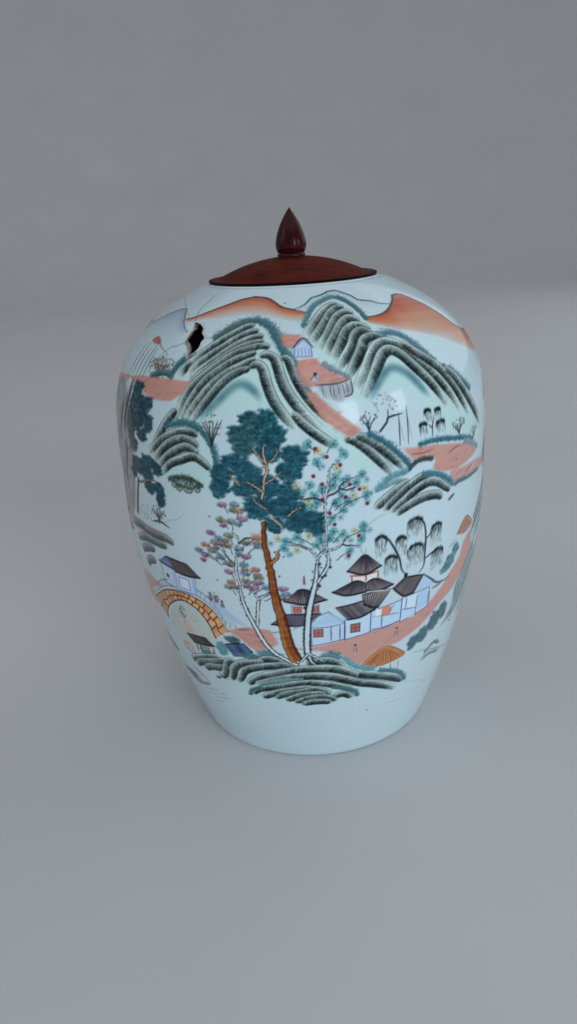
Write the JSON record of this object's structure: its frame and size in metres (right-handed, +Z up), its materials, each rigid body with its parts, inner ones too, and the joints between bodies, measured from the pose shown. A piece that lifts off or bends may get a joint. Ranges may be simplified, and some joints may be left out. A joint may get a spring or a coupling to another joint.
{
  "type": "ginger jar",
  "caption": "Lidded ovoid porcelain jar on a foot ring, with a lift-off turned hardwood lid and bud finial; painted landscape, with an old broken hole in the shoulder.",
  "frame": {"origin": "centre of the foot ring, on the plane the jar rests on", "axes": "+Z up along the axis of the jar, -Y towards the front of the painting, +X to the right seen from the front"},
  "size_m": [0.239, 0.239, 0.3394],
  "materials": {
    "porcelain": "gloss",
    "lid_wood": "satin",
    "finial_wood": "gloss"
  },
  "bodies": {
    "jar": {"jar_body": "porcelain"},
    "lid": {"lid_cover": "lid_wood", "lid_locating_ring": "lid_wood", "finial_collar": "finial_wood", "finial": "finial_wood"}
  },
  "joints": [
    {"name": "lid_lift", "type": "slide", "parent": "jar", "child": "lid", "axis": [0, 0, 1], "range_m": [0, 0.06]}
  ]
}
